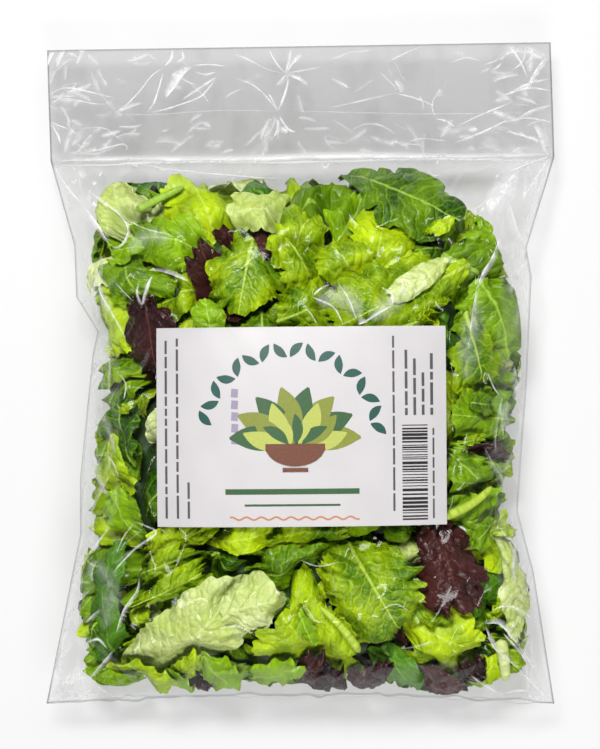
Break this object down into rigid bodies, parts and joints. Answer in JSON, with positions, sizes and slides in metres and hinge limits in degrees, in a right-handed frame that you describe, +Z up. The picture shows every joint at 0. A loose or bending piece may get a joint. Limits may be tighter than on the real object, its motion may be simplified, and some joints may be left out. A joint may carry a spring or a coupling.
{
  "type": "bag of salad leaves",
  "caption": "Clear film bag of mixed salad leaves, lying flat, with an empty top flap, a heat seal and a plain printed label on its front.",
  "frame": {"origin": "middle of the bag's plan, on the floor it lies on", "axes": "+Z up through the label, +Y towards the empty top flap, +X to the right as the label is read"},
  "size_m": [0.25, 0.326, 0.0813],
  "materials": {
    "leaves": "moist leaf, soft sheen",
    "label_paper": "satin coated paper",
    "film": "clear glossy film"
  },
  "bodies": {
    "root": {"bag": "leaves", "label": "label_paper"}
  },
  "joints": []
}
